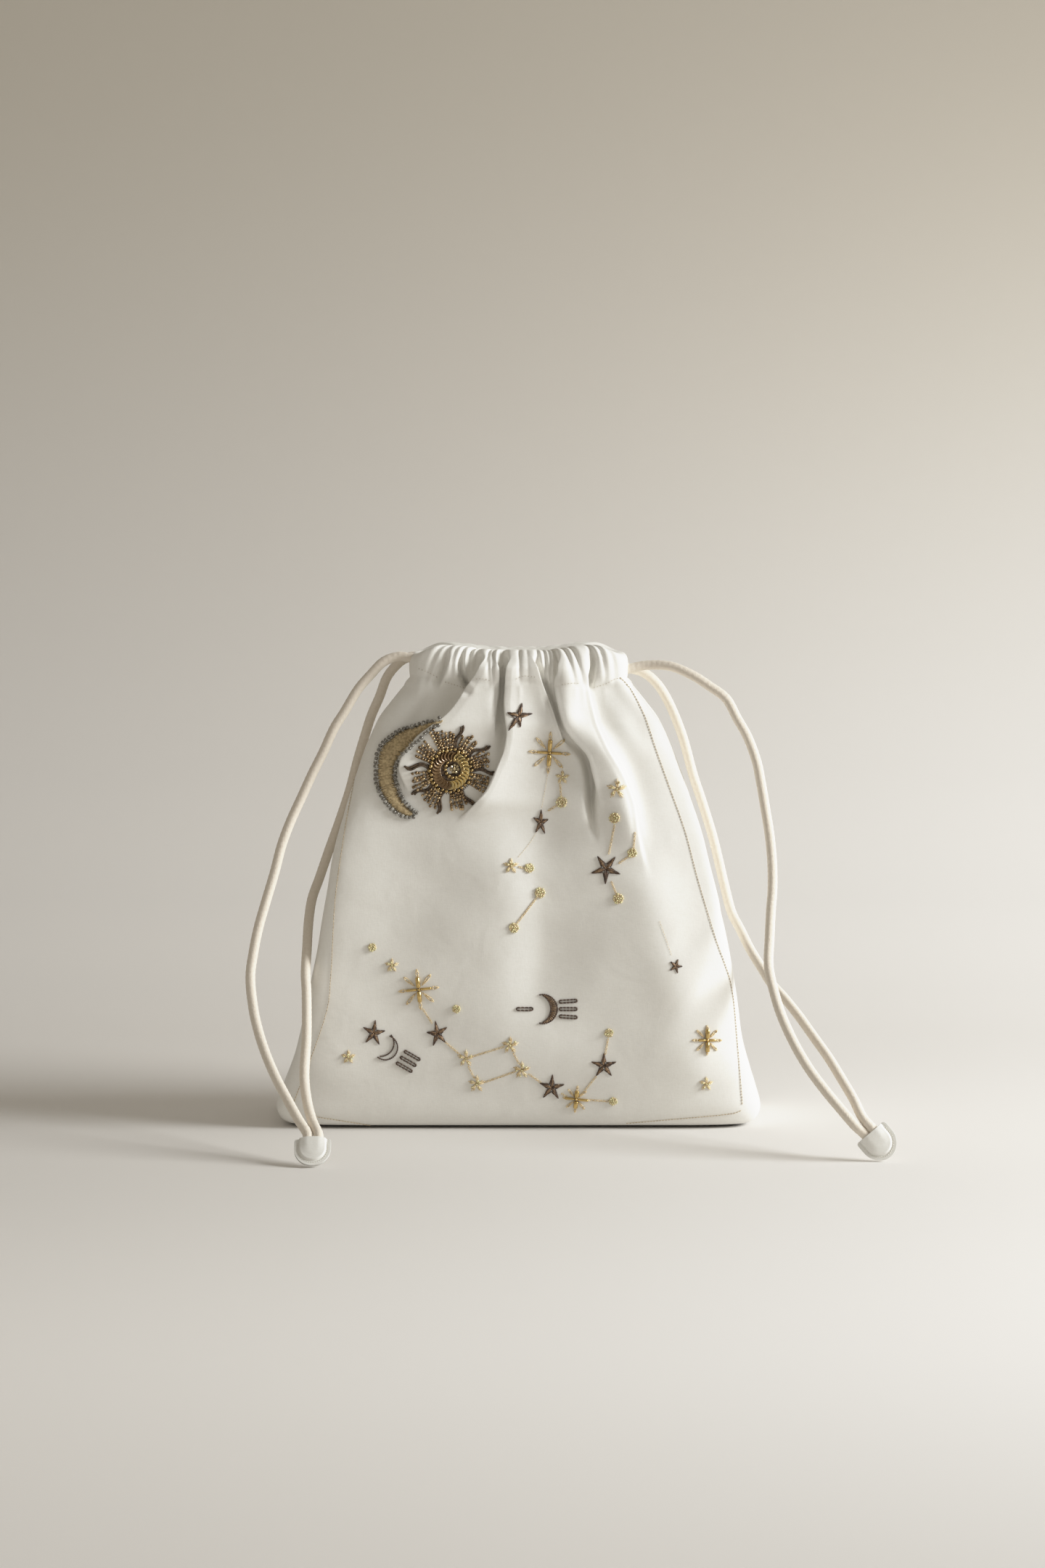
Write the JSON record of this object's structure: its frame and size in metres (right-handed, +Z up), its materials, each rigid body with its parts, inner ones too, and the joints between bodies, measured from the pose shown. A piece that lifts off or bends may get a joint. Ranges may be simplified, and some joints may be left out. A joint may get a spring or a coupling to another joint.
{
  "type": "embroidered drawstring bag",
  "caption": "Ivory satin drawstring pouch standing on a flat base, with a gathered cord casing at the mouth, braided drawcords ending in stitched tabs and beaded sun, moon and star embroidery.",
  "frame": {"origin": "centre of the flat base on the surface the pouch stands on", "axes": "+Z up through the mouth, embroidered front faces -Y, +X to the right seen from the front"},
  "size_m": [0.2958, 0.1599, 0.2276],
  "materials": {
    "satin": "ivory satin with a soft sheen",
    "cord": "cream braided cotton",
    "tab": "white satin, edge stitched",
    "thread": "khaki gold satin stitch with grey seed beads",
    "beadwork": "gold and bronze beads and sequins",
    "bugle": "gold lined glass bugle beads"
  },
  "bodies": {
    "root": {"pouch_front": "satin", "pouch_back": "satin", "pouch_base": "satin", "casing": "satin", "cord_run_left": "cord", "cord_run_right": "cord", "cord_left_outer": "cord", "cord_left_inner": "cord", "cord_right_outer": "cord", "cord_right_inner": "cord", "tab_left": "tab", "tab_right": "tab", "moon_applique": "thread", "sun_applique": "beadwork", "bugle_1a": "bugle", "bugle_1b": "bugle", "bugle_1c": "bugle", "bugle_1d": "bugle", "bugle_2a": "bugle", "bugle_2b": "bugle", "bugle_2c": "bugle", "bugle_2d": "bugle", "bugle_3a": "bugle", "bugle_3b": "bugle", "bugle_3c": "bugle", "bugle_3d": "bugle", "bugle_4a": "bugle", "bugle_4b": "bugle", "bugle_4c": "bugle", "bugle_4d": "bugle"}
  },
  "joints": []
}
